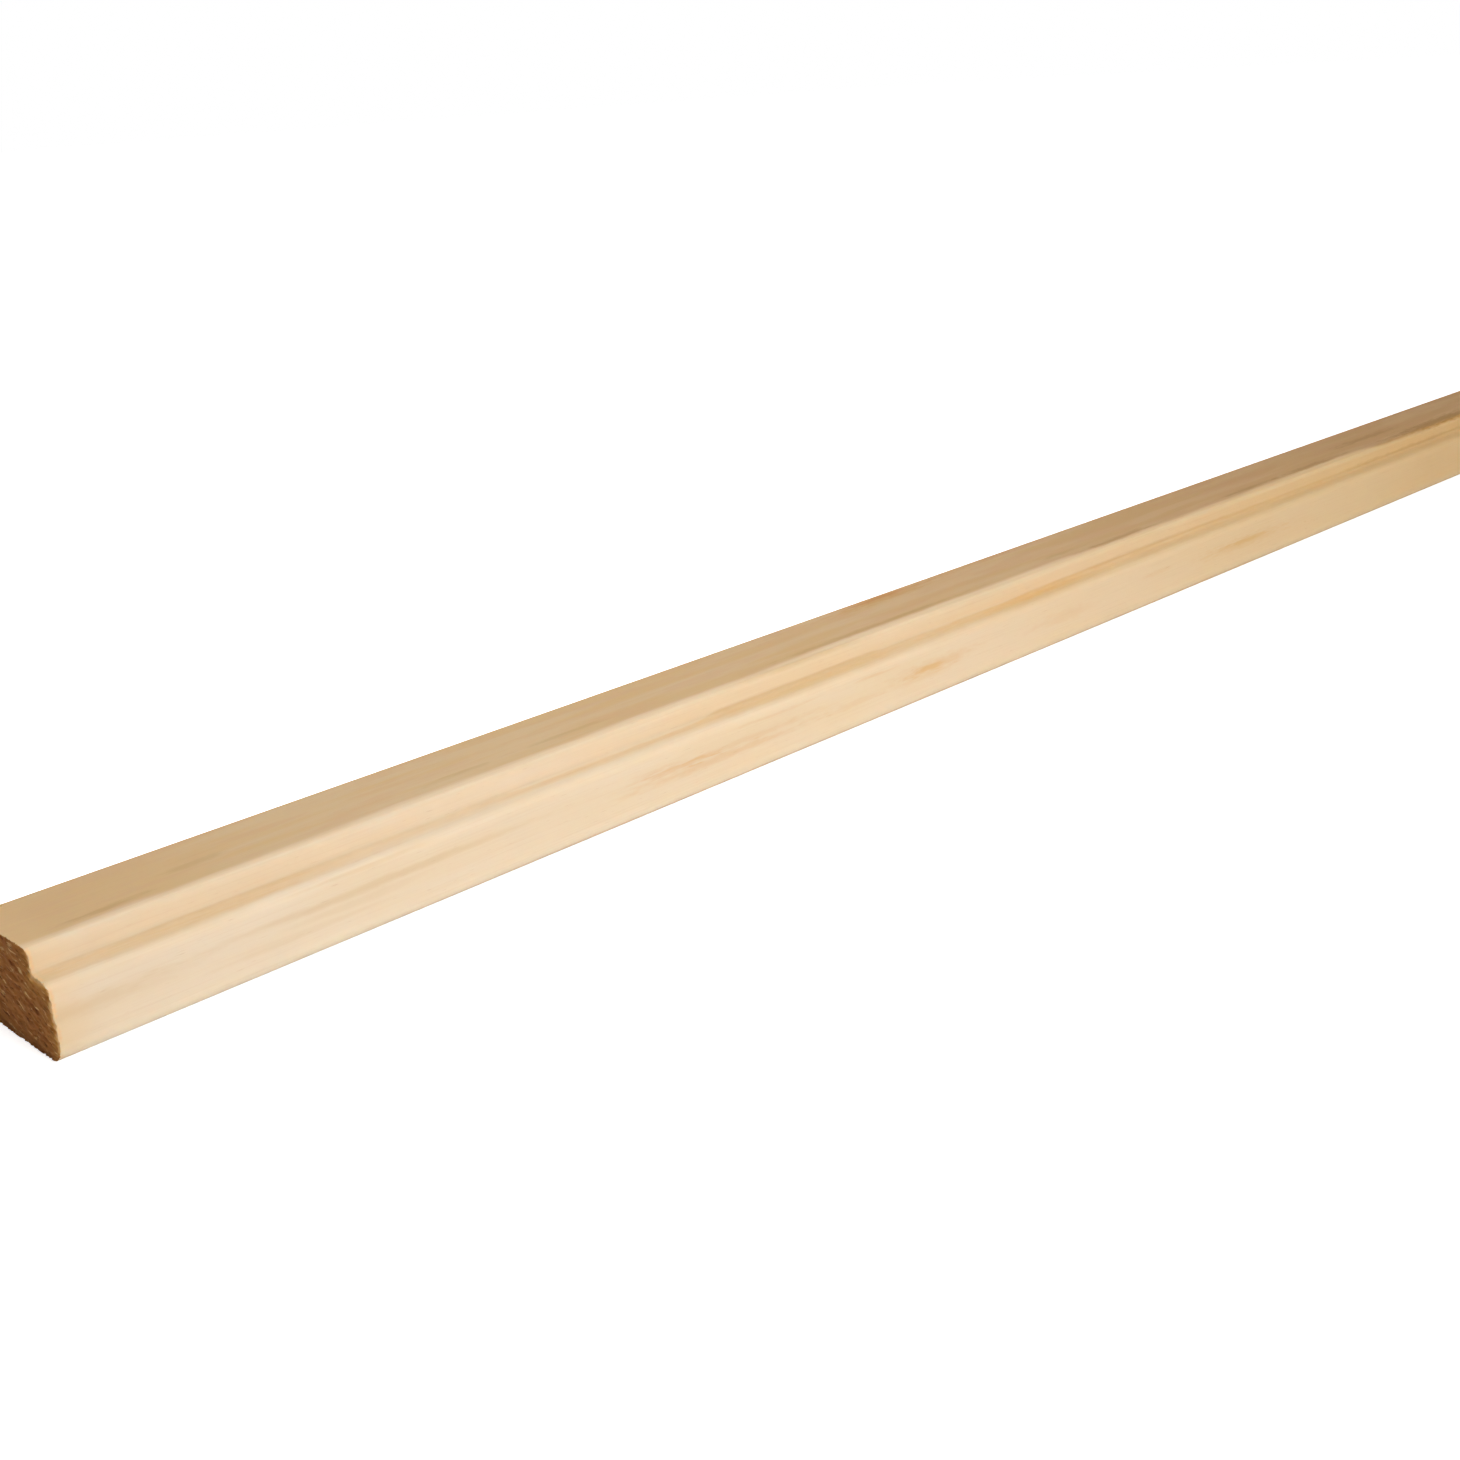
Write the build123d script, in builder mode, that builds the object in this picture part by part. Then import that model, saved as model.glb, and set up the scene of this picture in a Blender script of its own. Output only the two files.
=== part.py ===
from build123d import *
import os

# A length of planed pine shadow moulding, lying on its rounded face with the rebate up and in front.
# X runs along the length, -Y is the side with the rebate, Z = 0 is the face that it lies on. Millimetres.

# The stock
length = 2400.0
width = 21.0
thickness = 15.0

# The rebate that throws the shadow line, cut out of the upper front corner
rebate_depth = 4.25
rebate_height = 3.6

# The rounding of the long edges
face_radius = 3.0
ledge_radius = 1.5
cove_radius = 0.75
back_radius = 1.0
heel_radius = 0.5

with BuildPart() as moulding:
    with BuildSketch(Plane.YZ) as section:
        Rectangle(width, thickness, align=(Align.CENTER, Align.MIN))
        with Locations((-width / 2, thickness)):
            Rectangle(rebate_depth, rebate_height, align=(Align.MIN, Align.MAX), mode=Mode.SUBTRACT)

        # The corners from the face up: its two long edges, then the ledge, then the back
        face_edges, ledge_corners, back_corners = section.vertices().group_by(Axis.Y)
        ledge_edge, cove_corner = ledge_corners.sort_by(Axis.X)
        back_edge, heel_edge = back_corners.sort_by(Axis.X)
        fillet(face_edges, face_radius)
        fillet(ledge_edge, ledge_radius)
        fillet(cove_corner, cove_radius)
        fillet(back_edge, back_radius)
        fillet(heel_edge, heel_radius)

    # Half the length goes each way, so the middle of the stock is at X = 0
    extrude(amount=length / 2, both=True)

moulding.part.label = "moulding"

os.makedirs("parts", exist_ok=True)
export_step(moulding.part, "parts/moulding.step")
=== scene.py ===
import math
import bmesh
import bpy
from mathutils import Matrix, Vector, noise


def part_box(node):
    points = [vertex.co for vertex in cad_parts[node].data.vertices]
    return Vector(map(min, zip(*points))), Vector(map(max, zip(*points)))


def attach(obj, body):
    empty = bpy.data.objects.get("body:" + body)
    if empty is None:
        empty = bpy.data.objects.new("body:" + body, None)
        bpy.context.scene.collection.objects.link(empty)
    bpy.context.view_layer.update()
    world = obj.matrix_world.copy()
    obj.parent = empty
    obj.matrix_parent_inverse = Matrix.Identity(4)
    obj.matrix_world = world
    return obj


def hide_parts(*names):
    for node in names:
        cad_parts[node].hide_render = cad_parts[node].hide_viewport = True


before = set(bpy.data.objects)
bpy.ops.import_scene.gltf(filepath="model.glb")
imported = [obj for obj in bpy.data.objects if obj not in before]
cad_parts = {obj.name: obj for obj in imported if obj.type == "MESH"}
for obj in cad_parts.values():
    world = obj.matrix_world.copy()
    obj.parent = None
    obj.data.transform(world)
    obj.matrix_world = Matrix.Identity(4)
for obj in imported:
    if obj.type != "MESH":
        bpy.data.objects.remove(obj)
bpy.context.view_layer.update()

# The stock, in metres: its box comes from the moulding in model.glb, the section from the planing
MM = 0.001
low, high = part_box("moulding")
rebate_depth = 4.25 * MM
rebate_height = 3.6 * MM
face_radius = 3.0 * MM
ledge_radius = 1.5 * MM
cove_radius = 0.75 * MM
back_radius = 1.0 * MM
heel_radius = 0.5 * MM
round_steps = 10
sharp_crease = math.radians(35)
same_place = 1e-7

# Where the faces are divided along the stock: close by each end, and in even bays between
close_stations = (0.8 * MM, 2 * MM, 5 * MM)
bay = 40 * MM

# The sawn ends: the saw leaves the end grain torn, so their skin is finely divided
end_grid = 0.16 * MM
torn_depth = 0.55 * MM
worn_arris = 0.45 * MM
ring_slope = math.radians(18)
near_seed, far_seed = 3.1, 7.7

# How often the torn relief repeats along and across the rings, per millimetre
torn_grain = (0.4, 1.5)
fine_grain = (1.2, 3.4)
frayed_grain = (1.9, 1.9)

# The growth rings, in millimetres: the pith lies below the stock, towards the heel
ring_pitch = 2.9
pith = Vector((0, 24, -66))

# The studio, in metres
floor_reach = 8
aim_height = 7 * MM


class Value:
    """A number on its way through a material's nodes, so that sums on it read as plain Python."""

    def __init__(self, finish, socket):
        self.finish = finish
        self.socket = socket

    def sum(self, operation, *others):
        return self.finish.add("ShaderNodeMath", {"operation": operation}, dict(enumerate((self, *others))))

    def __add__(self, other):
        return self.sum("ADD", other)

    __radd__ = __add__

    def __sub__(self, other):
        return self.sum("SUBTRACT", other)

    def __rsub__(self, other):
        return self.finish.add("ShaderNodeMath", {"operation": "SUBTRACT"}, {0: other, 1: self})

    def __mul__(self, other):
        return self.sum("MULTIPLY", other)

    __rmul__ = __mul__

    def __truediv__(self, other):
        return self.sum("DIVIDE", other)


class Finish:
    """The nodes of a material or of the world, added one by one."""

    def __init__(self, owner):
        owner.use_nodes = True
        self.owner = owner
        self.tree = owner.node_tree
        self.tree.nodes.clear()

    def add(self, kind, settings=None, inputs=None, output=0):
        """Adds a node: its settings come first, then the values or links of its sockets."""
        node = self.tree.nodes.new(kind)
        for name, value in (settings or {}).items():
            setattr(node, name, value)
        for name, value in (inputs or {}).items():
            if isinstance(value, Value):
                self.tree.links.new(value.socket, node.inputs[name])
            else:
                node.inputs[name].default_value = value
        return Value(self, node.outputs[output]) if node.outputs else None

    def place(self):
        """The surface's place along, across and up the stock, in millimetres."""
        spot = self.add("ShaderNodeTexCoord", output="Object")
        spot = self.add("ShaderNodeVectorMath", {"operation": "SCALE"}, {0: spot, "Scale": 1 / MM})
        return [self.add("ShaderNodeSeparateXYZ", inputs={0: spot}, output=axis) for axis in "XYZ"]

    def vector(self, x, y, z):
        return self.add("ShaderNodeCombineXYZ", inputs={0: x, 1: y, 2: z})

    def cloud(self, x, y, z, detail=2.0):
        """Soft noise from 0 to 1, with a mean of one half."""
        spot = self.vector(x, y, z)
        return self.add("ShaderNodeTexNoise", inputs={"Vector": spot, "Scale": 1.0, "Detail": detail})

    def length(self, vector):
        return self.add("ShaderNodeVectorMath", {"operation": "LENGTH"}, {0: vector}, "Value")

    def ease(self, value, start, end, first, last):
        """Goes smoothly from first to last while the value goes from start to end."""
        settings = {"interpolation_type": "SMOOTHSTEP"}
        return self.add("ShaderNodeMapRange", settings, {0: value, 1: start, 2: end, 3: first, 4: last})

    def rise(self, value, start, end):
        """0 up to start, 1 from end, with a smooth rise between."""
        return self.ease(value, start, end, 0.0, 1.0)

    def hump(self, value, start, end, soft):
        """1 between start and end, with a smooth rise and fall about them."""
        return self.rise(value, start - soft, start + soft) * (1 - self.rise(value, end - soft, end + soft))

    def rings(self, y, z):
        """How many growth rings lie between the pith and the surface."""
        return self.length(self.vector(0, y - pith.y, z - pith.z)) / ring_pitch

    def streaks(self, spot, ragged, rows):
        """Lens-shaped streaks with ragged edges. A row is start, end, girth, half width and strength."""
        total = 0
        for start, end, girth, half_width, strength in rows:
            reach = (end - start) / 2
            share = (1 / reach, 1 / half_width, 0)
            shift = (-(start + end) / 2 / reach, -girth / half_width, 0)
            settings = {"operation": "MULTIPLY_ADD"}
            lens = self.add("ShaderNodeVectorMath", settings, {0: spot, 1: share, 2: shift})
            outwards = self.length(lens) + ragged
            total = self.ease(outwards, 0.2, 1.0, strength, 0.0) + total
        return total.sum("MINIMUM", 1)

    def blend(self, share, first, second):
        """One colour going over into another."""
        return self.add("ShaderNodeMix", {"data_type": "RGBA"}, {0: share, 6: first, 7: second}, output=2)

    def surface(self, shader, output="ShaderNodeOutputMaterial"):
        self.add(output, inputs={"Surface": shader})
        return self.owner


def colour(red, green, blue):
    """A colour as it is seen on a screen, from 0 to 255, as the light that a shader needs."""
    def light(part):
        part = part / 255
        return part / 12.92 if part <= 0.04045 else ((part + 0.055) / 1.055) ** 2.4
    return light(red), light(green), light(blue), 1.0


# Colours of the planed faces. A pair goes from the near end to the rest of the length
cream = colour(236, 217, 191)
honey = colour(237, 203, 153)
wall_honey = colour(236, 201, 146)
cloudy_cream = colour(233, 206, 161)
deep_honey = colour(226, 176, 112)
straw = colour(238, 208, 150)
# Painted bounce light for the foot where each face rounds under
painted_bounce_foot = colour(252, 238, 214), colour(246, 222, 178)
back_tan = colour(224, 191, 146), colour(210, 164, 112)
back_gold = colour(222, 182, 128), colour(200, 152, 96)
back_rose = colour(220, 176, 134), colour(206, 152, 106)
pale_arris = colour(247, 220, 184), colour(243, 202, 144)
arris_line = colour(214, 180, 134)
growth_line = colour(214, 165, 104)
ledge_tan = colour(218, 176, 112)
ledge_orange = colour(226, 174, 94)
# Painted shade for the rebate's inside corner
painted_cove_shade = colour(194, 180, 152)
tan_late_wood = colour(206, 167, 98)
amber_late_wood = colour(220, 162, 80)
brown_fleck = colour(176, 129, 70)
resin = colour(206, 146, 84)
fibre_line = colour(200, 154, 98)
resin_canal = colour(190, 140, 86)
end_warmth = colour(238, 200, 144)
# Painted highlight on the cut fibres by the ends
painted_fibre_highlight = colour(246, 194, 134)

# Colours of the sawn ends
early_end = colour(184, 122, 67)
late_end = colour(160, 98, 52)
raised_tuft = colour(240, 196, 134)
torn_gap = colour(98, 54, 26)
# Painted light on the sawn ends: a glowing rim, a highlight at its edge and shade at the foot
painted_glow_rim = colour(246, 178, 88)
painted_rim_highlight = colour(255, 212, 158)
painted_foot_shade = colour(120, 88, 42)

# Late wood that the planing laid open near the end. Each row gives start and end along the stock, girth
# and half width, all in millimetres, and then its strength
tan_streaks = (
    (-44, 30, 6.9, 2.0, 0.3), (10, 88, 7.75, 0.9, 0.28), (28, 60, 6.2, 0.9, 0.14),
    (14, 56, 4.6, 0.6, 0.14), (30, 64, 10.8, 0.6, 0.2), (84, 150, 6.7, 2.6, 0.12),
    (116, 166, 19.7, 1.2, 0.34))
amber_streaks = (
    (90, 120, 6.9, 0.9, 0.29), (98, 150, 7.1, 0.8, 0.16), (90, 148, 5.7, 0.9, 0.24),
    (94, 108, 7.8, 0.6, 0.14), (147, 163, 9.35, 0.4, 0.24),
    (112, 146, 9.45, 0.45, 0.16), (140, 160, 5.6, 0.8, 0.15), (154, 184, 5.4, 0.9, 0.14),
    (156, 188, 6.9, 1.7, 0.26), (163, 177, 6.8, 0.7, 0.26), (198, 228, 6.2, 1.8, 0.17),
    (238, 252, 7.4, 0.9, 0.14), (256, 308, 6.6, 1.9, 0.22), (272, 295, 6.9, 0.9, 0.24),
    (352, 440, 20.2, 1.6, 0.62))
back_flecks = (
    (6, 20, 22.9, 0.9, 0.3), (20, 33, 26.8, 1.4, 0.2), (61, 77, 24.5, 0.9, 0.22),
    (78, 106, 24.9, 0.9, 0.22), (128, 204, 22.8, 1.2, 0.3), (226, 260, 22.0, 1.3, 0.5),
    (280, 312, 22.8, 1.2, 0.5), (302, 346, 22.6, 1.5, 0.6), (340, 384, 27.2, 2.0, 0.6),
    (214, 234, 24.6, 1.2, 0.22), (350, 432, 21.6, 3.2, 0.9), (205, 300, 16.4, 0.6, 0.14),
    (320, 420, 16.3, 0.8, 0.22))
resin_patches = ((158, 202, 33.8, 3.0, 0.5), (164, 188, 34.6, 1.6, 0.4), (182, 236, 34.8, 1.6, 0.32))


def planed_pine():
    """Planed, untreated pine: cream early wood, soft amber streaks and a tan back with a wavy pale edge."""
    pine = Finish(bpy.data.materials.new("planed_pine"))

    # Places along and round the stock, in millimetres, and the noise that keeps every edge uneven
    x, y, z = pine.place()
    along = x - low.x / MM
    wander = pine.cloud(x / 14, y / 2, z / 2, 3.0) - 0.5
    mottle = pine.cloud(x / 40, y / 4, z / 4, 3.0)
    fibre = pine.cloud(x / 20, y * 4, z * 4, 3.0)

    # The girth runs from the lower front edge over the ledge and up the wall to the back's far edge
    girth = y + z - (low.y + low.z) / MM
    spot = pine.vector(along + wander * 12, girth + wander * 0.9, 0)
    dashes = pine.cloud(x / 3, y * 1.7, z * 1.7, 2.0)
    ragged = (fibre - 0.5) * 1.1 + (dashes - 0.5) * 1.1
    on_heel = pine.rise(y, 9.7, 10.2)
    rebated_side = pine.rise(z, 0.6, 2.0) * (1 - on_heel)
    beyond = pine.rise(along, 400, 470)

    # Cream early wood, warmer away from the near end
    warmer = pine.rise(along, 50, 390) * (1 - 0.4 * pine.rise(along, 500, 1000))
    warmer = warmer.sum("MAXIMUM", on_heel * 0.6)
    warm = pine.blend(pine.rise(girth, 14.5, 17.0), honey, wall_honey)
    wood = pine.blend(warmer, cream, warm)
    wood = pine.blend(pine.rise(mottle, 0.38, 0.66) * 0.3, wood, pine.blend(warmer, cloudy_cream, warm))

    # A honey stretch, a straw one, and painted bounce light: a paler foot where the face rounds under
    wood = pine.blend(pine.hump(along, 358, 480, 26) * 0.24, wood, deep_honey)
    wood = pine.blend(pine.hump(along, 108, 165, 20) * 0.1, wood, straw)
    painted_foot_shading = 0.5 - 0.5 * pine.rise(z, 0.8, 3.4)
    wood = pine.blend(painted_foot_shading, wood, pine.blend(warmer, *painted_bounce_foot))

    # The back is tan, with a pale edge of uneven width beside the wall
    pale_edge = 20.9 + 0.45 * pine.hump(along, 50, 120, 14) + 0.75 * pine.hump(along, 145, 222, 14)
    pale_edge = pale_edge + 0.6 * pine.hump(along, 300, 342, 12)
    pale_edge = pale_edge - 1.7 * pine.hump(along, 352, 440, 8) + wander * 1.6
    on_back = pine.rise(girth - pale_edge, -0.8, 1.2) * pine.rise(z, 13.5, 14.6)
    tan = pine.blend(warmer, *back_tan)
    golden = pine.rise(mottle, 0.38, 0.62).sum("MAXIMUM", 1 - pine.rise(along, 20, 38)) * 0.7
    tan = pine.blend(golden, tan, pine.blend(warmer, *back_gold))
    tan = pine.blend(pine.rise(wander, -0.06, 0.14) * 0.4, tan, pine.blend(warmer, *back_rose))
    on_edge = pine.rise(girth, 19.2, 20.4) * pine.rise(z, 13.5, 14.6)
    wood = pine.blend(on_edge, wood, pine.blend(warmer, *pale_arris))
    wood = pine.blend(pine.hump(girth, 18.6, 19.3, 0.4) * 0.2, wood, arris_line)
    wood = pine.blend(on_back, wood, tan)

    # Growth rings, laid open by the planing as lines that come and go along the length
    rings = pine.rings(y, z) + (mottle - 0.5) * 0.5
    year = rings.sum("FRACT")
    late = pine.rise(year, 0.45, 0.85) * (1 - pine.rise(year, 0.88, 1.0))
    showing = pine.rise(pine.cloud(x / 110, rings.sum("FLOOR") * 7.3, 0.0), 0.42, 0.68)
    hidden = rebated_side * (1 - beyond)
    wood = pine.blend(late * showing * (0.5 - 0.5 * hidden), wood, growth_line)

    # A tan band of late wood along the ledge, up to a crisp edge in the cove
    band_top = 16.0 - 0.6 * pine.hump(along, 76, 117, 4) + 0.4 * pine.hump(along, 118, 161, 1.5)
    band_top = band_top + 0.5 * pine.rise(along, 190, 220) + wander * 0.5
    wider = pine.rise(along, 112, 150)
    band_foot = 11.6 + 0.9 * pine.hump(along, 52, 116, 8) - 2.1 * wider + wander * 1.6
    band = pine.rise((girth - band_foot) / (2.1 + 2.6 * wider), 0.0, 1.0)
    band = band * (1 - pine.rise(girth - band_top, -0.4, 0.2)) * rebated_side
    depth = 0.42 + 0.12 * pine.hump(along, 120, 161, 3) + 0.2 * pine.hump(along, 192, 224, 14)
    depth = depth + 0.02 * pine.rise(along, 226, 250) - 0.14 * pine.hump(along, 40, 78, 10)
    depth = depth + (dashes - 0.5) * 0.3
    orange = pine.hump(along, 192, 224, 16) * pine.hump(girth, 13.6, 15.6, 0.8)
    wood = pine.blend(band * depth, wood, pine.blend(orange, ledge_tan, ledge_orange))

    # Painted shade: the inside corner of the rebate is greyed, less so away from the near end
    cove_shade_strength = 0.25 - 0.17 * pine.rise(along, 150, 220)
    cove_shade = pine.hump(girth, 15.2, 16.3, 0.5) * cove_shade_strength * rebated_side
    wood = pine.blend(cove_shade, wood, painted_cove_shade)

    # Streaks by the near end, then the fibres and the resin canals all over
    for rows, roughly, late_wood in (
            (tan_streaks, ragged * 0.45, tan_late_wood), (amber_streaks, ragged, amber_late_wood),
            (back_flecks, ragged, brown_fleck), (resin_patches, ragged, resin)):
        wood = pine.blend(pine.streaks(spot, roughly, rows) * rebated_side, wood, late_wood)
    canal = pine.cloud(x / 2.5, y * 5, z * 5, 1.0)
    wood = pine.blend(pine.rise(fibre, 0.45, 0.8) * 0.12, wood, fibre_line)
    wood = pine.blend(pine.rise(canal, 0.7, 0.82) * 0.22, wood, resin_canal)

    # A warmer tone by each end, and a painted highlight: a thin fringe of cut fibres on the front, painted
    # bright as catching the light
    from_end = along.sum("MINIMUM", (high.x - low.x) / MM - along) + ragged * 0.4
    fibre_highlight = (1 - pine.rise(from_end, 0.3, 0.8)) * (1 - pine.rise(y, -6.2, -5.0))
    fibre_highlight = fibre_highlight * pine.rise(wander, -0.2, 0.06)
    wood = pine.blend(0.28 - 0.28 * pine.rise(from_end, 0.0, 7.0), wood, end_warmth)
    wood = pine.blend(fibre_highlight * 0.6, wood, painted_fibre_highlight)
    lift = pine.add("ShaderNodeBump", inputs={"Strength": 0.12, "Distance": 0.02 * MM, "Height": fibre})
    shader = pine.add("ShaderNodeBsdfPrincipled", inputs={
        "Base Color": wood, "Roughness": 0.75, "Normal": lift, "Specular IOR Level": 0.1,
        "Subsurface Weight": 0.7, "Subsurface Radius": (1.0, 0.8, 0.62), "Subsurface Scale": 0.6 * MM})
    return pine.surface(shader)


def sawn_end_grain():
    """End grain as the saw leaves it: torn in short tufts, dull and much darker than the faces."""
    grain = Finish(bpy.data.materials.new("sawn_end_grain"))
    x, y, z = grain.place()
    along_ring = y * math.cos(ring_slope) + z * math.sin(ring_slope)
    across_ring = z * math.cos(ring_slope) - y * math.sin(ring_slope)
    year = grain.rings(y, z).sum("FRACT")
    late = grain.rise(year, 0.4, 0.9) * (1 - grain.rise(year, 0.93, 1.0))
    wood = grain.blend(late * 0.6, early_end, late_end)

    # Pale tufts that stand up, and dark gaps where fibres were torn out
    tuft = grain.rise(grain.cloud(x, along_ring * 0.42, across_ring * 2.5, 3.0), 0.58, 0.7)
    gap = grain.rise(grain.cloud(x + 40, along_ring * 0.45, across_ring * 2.6, 3.0), 0.56, 0.7)
    wood = grain.blend(tuft * 0.9, wood, raised_tuft)
    wood = grain.blend(gap * 0.8, wood, torn_gap)

    # Painted light: light soaking through from the planed front is painted as a golden rim beside it, with
    # a painted highlight along the very edge; painted shade darkens the foot
    from_front = y - low.y / MM
    from_step = ((high.z - rebate_height) / MM - z).sum("MAXIMUM", from_front - rebate_depth / MM)
    from_edge = from_front.sum("MINIMUM", from_step) + (tuft - gap) * 0.3
    painted_rim_glow = 0.75 * (1 - grain.rise(from_edge, 0.2, 1.3)) + 0.2 * (1 - grain.rise(from_edge, 0.6, 5.0))
    wood = grain.blend(painted_rim_glow, wood, painted_glow_rim)
    wood = grain.blend(0.9 - 0.9 * grain.rise(from_edge, 0.0, 0.8), wood, painted_rim_highlight)
    painted_foot_shading = (1 - grain.rise(z, 0.5, 3.0)) * grain.rise(y, -9, -2)
    wood = grain.blend(painted_foot_shading * 0.2, wood, painted_foot_shade)
    shader = grain.add("ShaderNodeBsdfPrincipled", inputs={
        "Base Color": wood, "Roughness": 0.85, "Specular IOR Level": 0.1,
        "Subsurface Weight": 0.4, "Subsurface Radius": (1.0, 0.62, 0.35), "Subsurface Scale": 0.5 * MM})
    return grain.surface(shader)


def section_corners():
    """The section's corners, each with the radius that its long edge is rounded to."""
    wall = low.y + rebate_depth
    ledge = high.z - rebate_height
    return (
        (low.y, low.z, face_radius), (high.y, low.z, face_radius), (high.y, high.z, heel_radius),
        (wall, high.z, back_radius), (wall, ledge, cove_radius), (low.y, ledge, ledge_radius))


def planed_length():
    """The planed stock: the section drawn out to its length, with its long edges rounded."""
    stock = bmesh.new()
    corners = section_corners()
    outline = [stock.verts.new((low.x, y, z)) for y, z, radius in corners]
    drawn = bmesh.ops.extrude_face_region(stock, geom=[stock.faces.new(outline)])
    far = [part for part in drawn["geom"] if isinstance(part, bmesh.types.BMVert)]
    bmesh.ops.translate(stock, verts=far, vec=(high.x - low.x, 0, 0))
    bmesh.ops.recalc_face_normals(stock, faces=stock.faces)
    for y, z, radius in corners:
        corner = Vector((y, z))
        edge = [e for e in stock.edges if all((v.co.yz - corner).length < same_place for v in e.verts)]
        bmesh.ops.bevel(
            stock, geom=edge, offset=radius, segments=round_steps, profile=0.5, affect="EDGES", material=-1)
    return stock


def divided_skin(stock, end):
    """Divides a sawn end by a fine grid, and gives back its faces, edges and vertices."""
    skin = [f for f in stock.faces if all(abs(v.co.x - end) < same_place for v in f.verts)]
    geometry = list({part for f in skin for part in (f, *f.edges, *f.verts)})
    for axis in (1, 2):
        normal = Vector((0, 0, 0))
        normal[axis] = 1
        for step in range(1, int((high[axis] - low[axis]) / end_grid)):
            point = Vector(low) + normal * step * end_grid
            geometry = bmesh.ops.bisect_plane(
                stock, geom=geometry, plane_co=point, plane_no=normal, dist=same_place)["geom"]
    return geometry


def relief(seed, spot, grain):
    """Smooth noise over a sawn end, from about -1 to 1."""
    along_rings, across_rings = grain
    return noise.noise(Vector((seed, spot.y * along_rings, spot.z * across_rings)))


def tear_end(stock, end, inwards, seed):
    """Pulls a sawn end's skin in, deeper where fibres were torn out and where the front arris is worn."""
    geometry = divided_skin(stock, end)
    torn_skin = {part for part in geometry if isinstance(part, bmesh.types.BMFace)}
    turn = Matrix.Rotation(-ring_slope, 3, "X")

    # Each relief has its own slice of the noise, and each depth is a share of the deepest
    for vert in (part for part in geometry if isinstance(part, bmesh.types.BMVert)):
        spot = turn @ vert.co / MM
        torn = relief(seed, spot, torn_grain)
        fine = relief(seed + 9, spot, fine_grain)
        frayed = relief(seed + 21, spot, frayed_grain)
        from_front = vert.co.y - low.y
        from_step = max(high.z - rebate_height - vert.co.z, from_front - rebate_depth)
        from_edge = min(from_front, from_step)
        inside = min(from_edge / worn_arris / 3, 1)
        if torn_skin.issuperset(vert.link_faces):
            depth = 0.28 * inside + 0.5 * torn + 0.3 * fine
        else:
            depth = 0.05 + 0.55 * frayed
        depth += 0.2 * max(0, 1 - from_edge / worn_arris)
        vert.co.x += inwards * torn_depth * min(max(depth, 0), 1)
    for face in torn_skin:
        face.material_index = 1


def moulding():
    """The whole piece: planed faces all along and a torn, sawn end each way."""
    stock = planed_length()
    everything = stock.verts[:] + stock.edges[:] + stock.faces[:]
    length = high.x - low.x
    bays = [n * bay for n in range(1, round(length / bay))]
    for station in (*close_stations, *bays, *(length - place for place in reversed(close_stations))):
        cut = Vector((low.x + station, 0, 0))
        everything = bmesh.ops.bisect_plane(
            stock, geom=everything, plane_co=cut, plane_no=(1, 0, 0), dist=same_place)["geom"]
    tear_end(stock, low.x, 1, near_seed)
    tear_end(stock, high.x, -1, far_seed)
    for face in stock.faces:
        face.smooth = True
    mesh = bpy.data.meshes.new("pine_moulding")
    stock.to_mesh(mesh)
    stock.free()
    mesh.set_sharp_from_angle(angle=sharp_crease)
    mesh.materials.append(planed_pine())
    mesh.materials.append(sawn_end_grain())
    piece = bpy.data.objects.new("pine_moulding", mesh)
    bpy.context.scene.collection.objects.link(piece)
    even = piece.modifiers.new("even_shading", "WEIGHTED_NORMAL")
    even.keep_sharp = True
    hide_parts("moulding")
    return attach(piece, "root")


def seen_by_camera(finish):
    """1 for what the camera sees, straight or in a gloss or through glass, and 0 for light on its way."""
    kinds = ("Is Camera Ray", "Is Glossy Ray", "Is Transmission Ray")
    straight, mirrored, through = [finish.add("ShaderNodeLightPath", output=kind) for kind in kinds]
    return straight.sum("MAXIMUM", mirrored).sum("MAXIMUM", through)


def white_floor():
    """A pale floor that the camera sees as white, with the moulding's soft shadow left on it."""
    floor = Finish(bpy.data.materials.new("white_floor"))
    x, y, z = floor.place()
    half_length = (high.x - low.x) / 2 / MM
    away_aside = floor.rise(y.sum("ABSOLUTE"), 80, 500)
    away_beyond = floor.rise(x.sum("ABSOLUTE"), half_length + 50, half_length + 500)
    away = away_aside.sum("MAXIMUM", away_beyond)
    plain = floor.add("ShaderNodeBsdfDiffuse", inputs={"Color": (0.86, 0.85, 0.83, 1)})
    level = 0.82 + 0.18 * away
    glow = floor.add("ShaderNodeEmission", inputs={"Color": floor.vector(level, level, level)})
    both = floor.add("ShaderNodeAddShader", inputs={0: plain, 1: glow})
    shader = floor.add("ShaderNodeMixShader", inputs={0: seen_by_camera(floor), 1: plain, 2: both})
    sheet = bmesh.new()
    bmesh.ops.create_grid(sheet, x_segments=1, y_segments=1, size=floor_reach)
    mesh = bpy.data.meshes.new("floor")
    sheet.to_mesh(mesh)
    sheet.free()
    mesh.materials.append(floor.surface(shader))
    piece = bpy.data.objects.new("floor", mesh)
    bpy.context.scene.collection.objects.link(piece)


def white_room():
    """The world: white to the camera, and a dim warm fill on everything else."""
    room = Finish(bpy.data.worlds.new("room"))
    bpy.context.scene.world = room.owner
    fill = room.add("ShaderNodeBackground", inputs={"Color": (1.0, 0.95, 0.88, 1), "Strength": 0.05})
    white = room.add("ShaderNodeBackground", inputs={"Color": (1, 1, 1, 1), "Strength": 1.0})
    shader = room.add("ShaderNodeMixShader", inputs={0: seen_by_camera(room), 1: fill, 2: white})
    room.surface(shader, "ShaderNodeOutputWorld")


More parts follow.
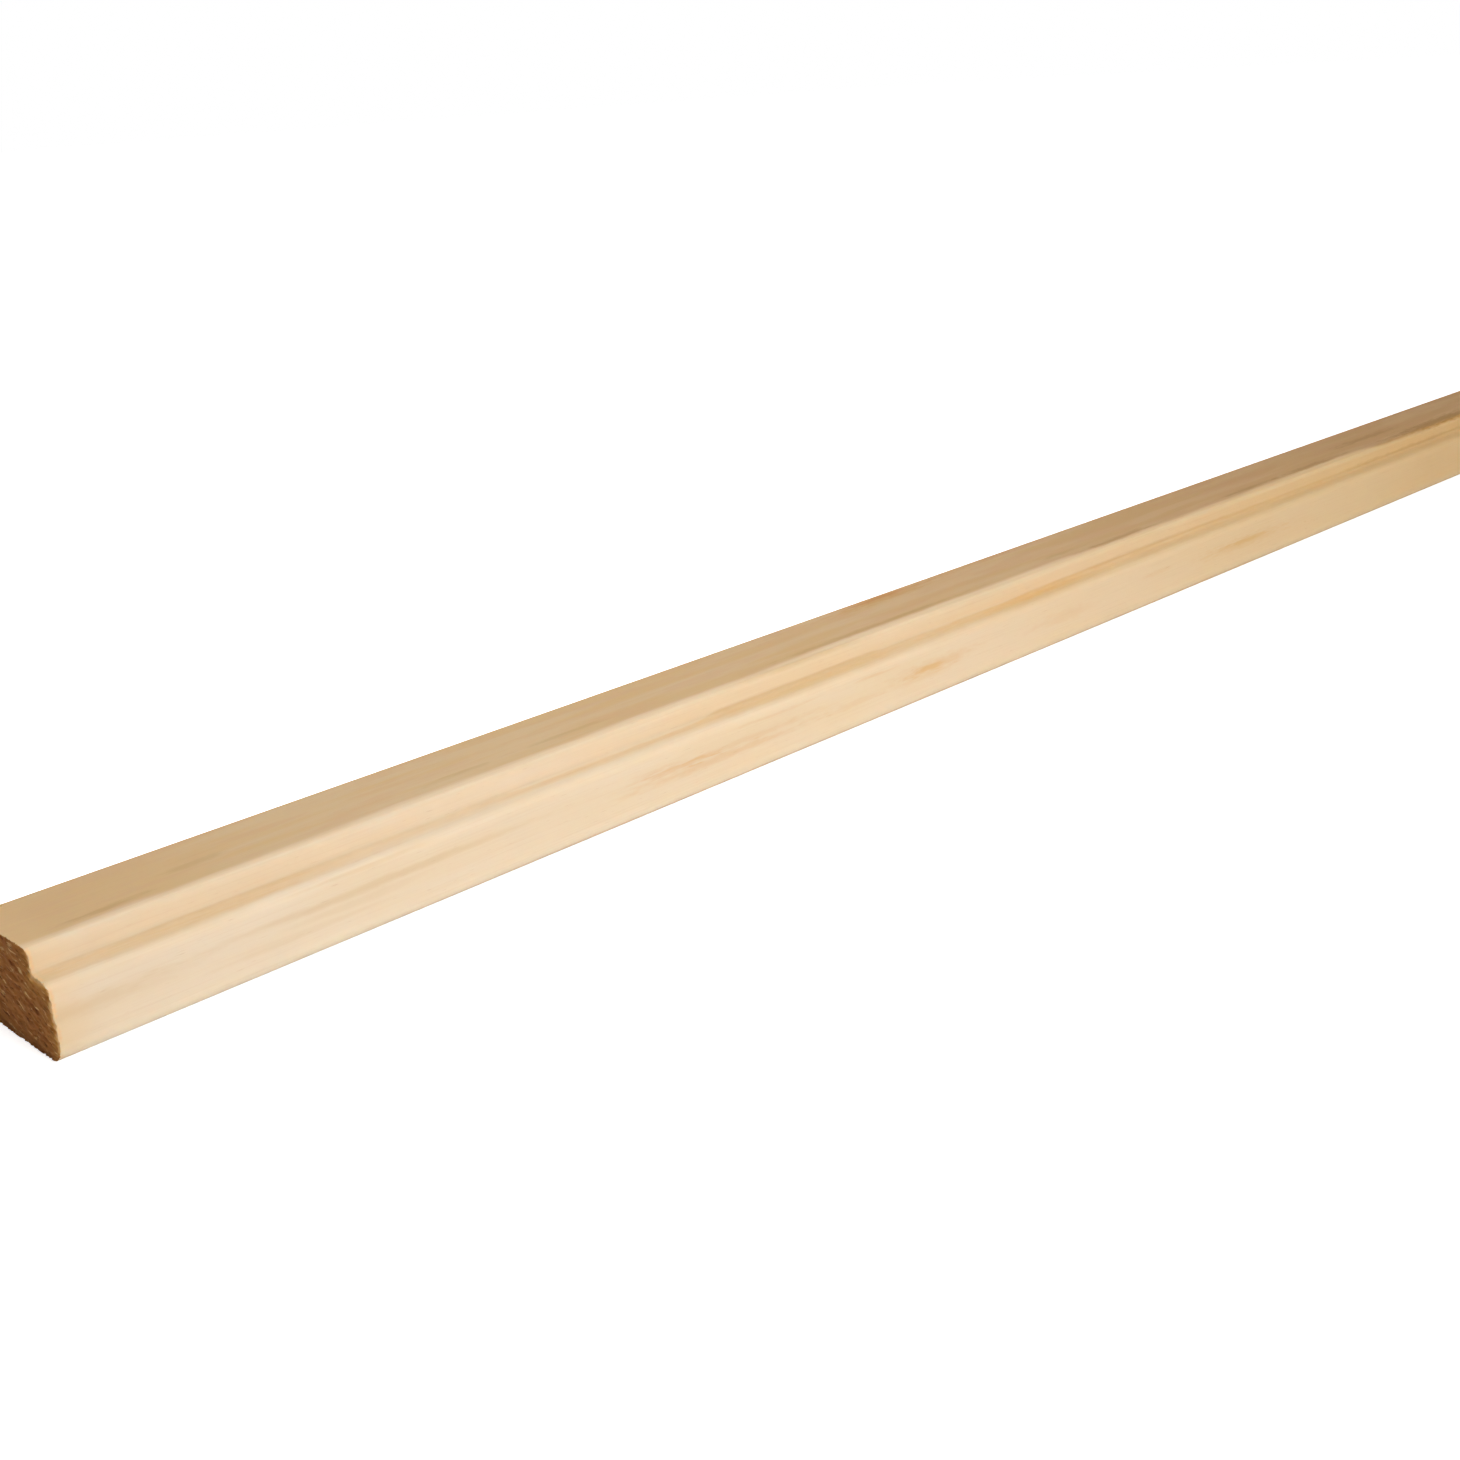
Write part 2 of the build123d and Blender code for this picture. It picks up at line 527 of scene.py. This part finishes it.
def soft_lamp(name, place, aim, size, watts):
    """A white rectangular lamp, turned towards its aim on the stock's middle line."""
    lamp = bpy.data.lights.new(name, "AREA")
    lamp.shape = "RECTANGLE"
    lamp.size, lamp.size_y = size
    lamp.energy = watts
    piece = bpy.data.objects.new(name, lamp)
    bpy.context.scene.collection.objects.link(piece)
    piece.location = place
    piece.rotation_mode = "QUATERNION"
    towards = Vector((aim, 0, aim_height)) - Vector(place)
    piece.rotation_quaternion = towards.to_track_quat("-Z", "Y")


def studio_light():
    """Soft lamps: a window and an overhead by the near end, long ones for the rest, and fills all round."""
    near, middle, far = low.x, (low.x + high.x) / 2, high.x
    soft_lamp("near_window", (near + 0.07, -0.36, 0.23), near + 0.06, (0.12, 0.16), 1.05)
    soft_lamp("long_window", (near + 1.75, -0.65, 0.42), near + 1.75, (2.5, 0.3), 8.0)
    soft_lamp("overhead", (near + 0.1, 0.02, 0.38), near + 0.1, (0.2, 0.25), 0.42)
    soft_lamp("long_overhead", (near + 1.8, 0.02, 0.5), near + 1.8, (2.3, 0.2), 1.35)
    soft_lamp("near_end_fill", (near - 0.45, -0.12, 0.25), near, (0.2, 0.2), 0.26)
    soft_lamp("far_end_fill", (far + 0.45, -0.12, 0.25), far, (0.2, 0.2), 0.28)
    soft_lamp("back_fill", (middle, 0.8, 0.065), middle, (2.6, 0.1), 10.5)


def camera():
    """The photograph's camera, found from its outlines: it looks down along the stock from its near end."""
    heading, pitch, roll = (math.radians(angle) for angle in (43.74, 19.58, 3.70))
    focal_pixels, frame_pixels, sensor = 1828.7, 1460, 36.0
    from_corner = Vector((-78.27, -205.89, 111.16)) * MM
    place = Vector(low) + from_corner
    level = Vector((math.sin(heading), math.cos(heading), 0))
    forward = level * math.cos(pitch) - Vector((0, 0, math.sin(pitch)))
    right = Vector((math.cos(heading), -math.sin(heading), 0))
    down = forward.cross(right)
    across = math.cos(roll) * right + math.sin(roll) * down
    upward = math.sin(roll) * right - math.cos(roll) * down
    lens = bpy.data.cameras.new("camera")
    lens.sensor_width = sensor
    lens.lens = focal_pixels / frame_pixels * sensor
    lens.clip_start = 0.01
    piece = bpy.data.objects.new("camera", lens)
    bpy.context.scene.collection.objects.link(piece)
    turn = Matrix((across, upward, -forward)).transposed().to_4x4()
    piece.matrix_world = Matrix.Translation(place) @ turn
    bpy.context.scene.camera = piece


moulding()
white_floor()
white_room()
studio_light()
camera()
bpy.context.scene.view_settings.view_transform = "Standard"
